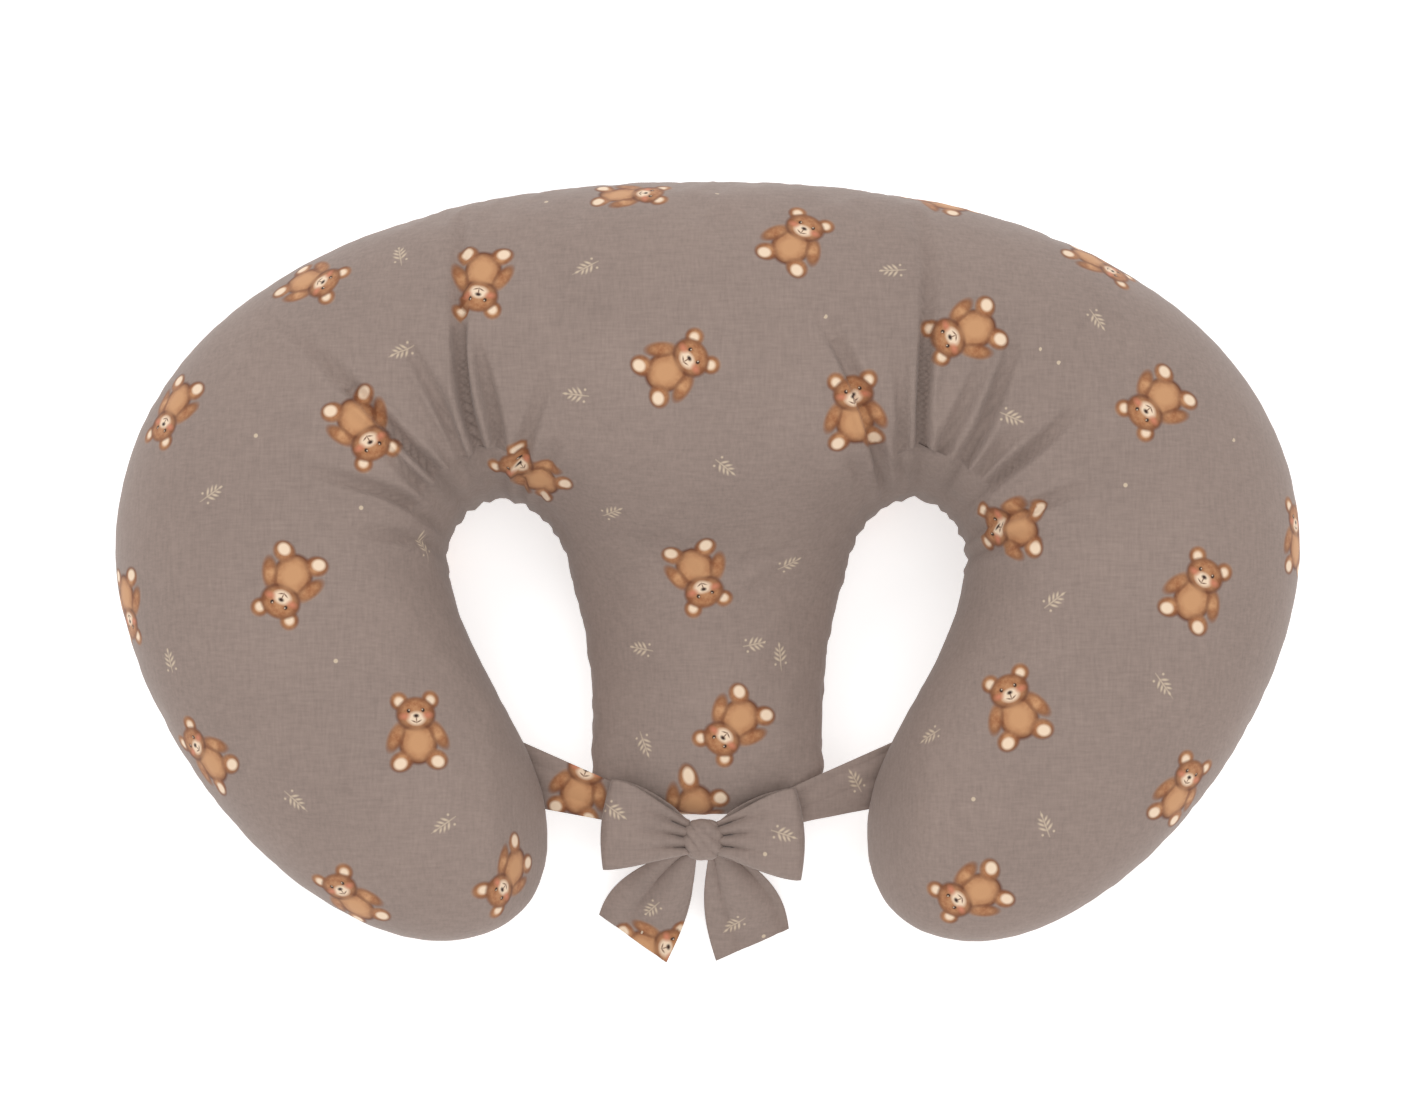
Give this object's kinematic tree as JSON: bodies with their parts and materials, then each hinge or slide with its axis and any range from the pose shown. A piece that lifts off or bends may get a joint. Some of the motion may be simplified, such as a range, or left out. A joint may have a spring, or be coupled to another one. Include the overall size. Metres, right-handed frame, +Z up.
{
  "type": "nursing pillow",
  "caption": "Stuffed C-shaped cushion with a tongue between its arms and two leg openings, a zipped cotton cover and a tie knotted in a bow across the front.",
  "frame": {"origin": "middle of the footprint's bounding box, on the surface that the pillow lies on", "axes": "+X along the pillow's width, from one arm to the other; +Y towards the back edge, away from the arm tips and the bow; +Z up"},
  "size_m": [0.621, 0.412, 0.1327],
  "materials": {
    "printed_cotton": "matt woven percale with a scattered print",
    "white_polycotton": "matt woven",
    "polyester_fibre": "matt fibre ball filling",
    "woven_elastic": "matt woven",
    "zip_tape": "matt woven",
    "nylon_coil": "semi-matt",
    "enamelled_zinc": "satin enamel"
  },
  "bodies": {
    "cushion": {"cover_top_panel": "printed_cotton", "cover_bottom_panel": "printed_cotton", "casing_top_panel": "white_polycotton", "casing_bottom_panel": "white_polycotton", "fibre_fill": "polyester_fibre", "gather_elastic_left": "woven_elastic", "gather_elastic_right": "woven_elastic", "zip_tape_upper": "zip_tape", "zip_tape_lower": "zip_tape", "zip_coil_upper": "nylon_coil", "zip_coil_lower": "nylon_coil", "zip_top_stop_upper": "enamelled_zinc", "zip_top_stop_lower": "enamelled_zinc", "zip_bottom_stop": "enamelled_zinc", "tie_band_left": "printed_cotton", "tie_band_right": "printed_cotton", "bow_knot": "printed_cotton"},
    "slider": {"zip_slider": "enamelled_zinc"},
    "pull": {"zip_pull": "enamelled_zinc"},
    "loop_left": {"bow_loop_left": "printed_cotton"},
    "loop_right": {"bow_loop_right": "printed_cotton"},
    "tail_left": {"bow_tail_left": "printed_cotton"},
    "tail_right": {"bow_tail_right": "printed_cotton"}
  },
  "joints": [
    {"name": "zip_slider_travel", "type": "hinge", "parent": "cushion", "child": "slider", "pos_m": [0, -0.414, 0.033], "axis": [0, 0, 1], "range_deg": [0, 21.7]},
    {"name": "zip_pull_flip", "type": "hinge", "parent": "slider", "child": "pull", "pos_m": [0.11622, 0.19094, 0.03205], "axis": [-0.0672, -0.3496, -0.9345], "range_deg": [0, 170]},
    {"name": "bow_loop_left_lift", "type": "hinge", "parent": "cushion", "child": "loop_left", "pos_m": [-0.01385, -0.142, 0.042], "axis": [0, 1, 0], "range_deg": [0, 30]},
    {"name": "bow_loop_right_lift", "type": "hinge", "parent": "cushion", "child": "loop_right", "pos_m": [0.00905, -0.142, 0.042], "axis": [0, -1, 0], "range_deg": [0, 30]},
    {"name": "bow_tail_left_lift", "type": "hinge", "parent": "cushion", "child": "tail_left", "pos_m": [-0.00752, -0.15395, 0.03775], "axis": [-0.7705, 0.6375, 0], "range_deg": [0, 60]},
    {"name": "bow_tail_right_lift", "type": "hinge", "parent": "cushion", "child": "tail_right", "pos_m": [0.00272, -0.15395, 0.03775], "axis": [-0.8948, -0.4464, 0], "range_deg": [0, 60]}
  ]
}
